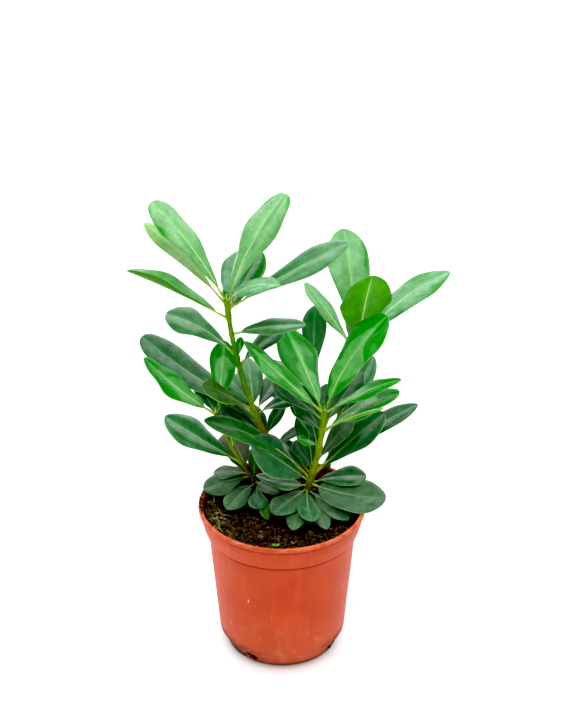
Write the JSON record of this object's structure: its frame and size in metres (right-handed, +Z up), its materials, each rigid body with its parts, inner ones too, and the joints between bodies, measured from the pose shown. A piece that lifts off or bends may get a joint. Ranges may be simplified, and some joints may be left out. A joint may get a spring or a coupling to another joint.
{
  "type": "potted pittosporum shrub",
  "caption": "Young evergreen pittosporum shrub with slender stems and glossy paddle-shaped leaves, rooted in soil in a round plastic nursery pot.",
  "frame": {"origin": "centre of the flat underside of the pot, which stands on the floor", "axes": "+Z up along the axis of the pot, -Y towards the side that the picture shows, +X to the right of the picture"},
  "size_m": [0.2259, 0.175, 0.3314],
  "materials": {
    "pot_plastic": "satin moulded plastic, terracotta coloured",
    "soil": "damp crumbly potting soil",
    "stem_bark": "young green bark, brown at the foot",
    "leaf_green": "leathery leaf with a waxy gloss"
  },
  "bodies": {
    "root": {"pot": "pot_plastic", "potting_soil": "soil", "left_stem": "stem_bark", "left_lower_foliage": "leaf_green", "left_middle_stem": "stem_bark", "left_middle_foliage": "leaf_green", "left_upper_stem": "stem_bark", "left_crown_foliage": "leaf_green", "right_stem_foot": "stem_bark", "right_foot_foliage": "leaf_green", "right_stem": "stem_bark", "right_crown_foliage": "leaf_green", "rear_right_stem": "stem_bark", "rear_right_foliage": "leaf_green", "rear_right_upper_stem": "stem_bark", "rear_right_crown_foliage": "leaf_green", "rear_left_stem": "stem_bark", "rear_left_foliage": "leaf_green", "low_left_stem_foot": "stem_bark", "low_left_foot_foliage": "leaf_green", "low_left_stem": "stem_bark", "low_left_foliage": "leaf_green"}
  },
  "joints": []
}
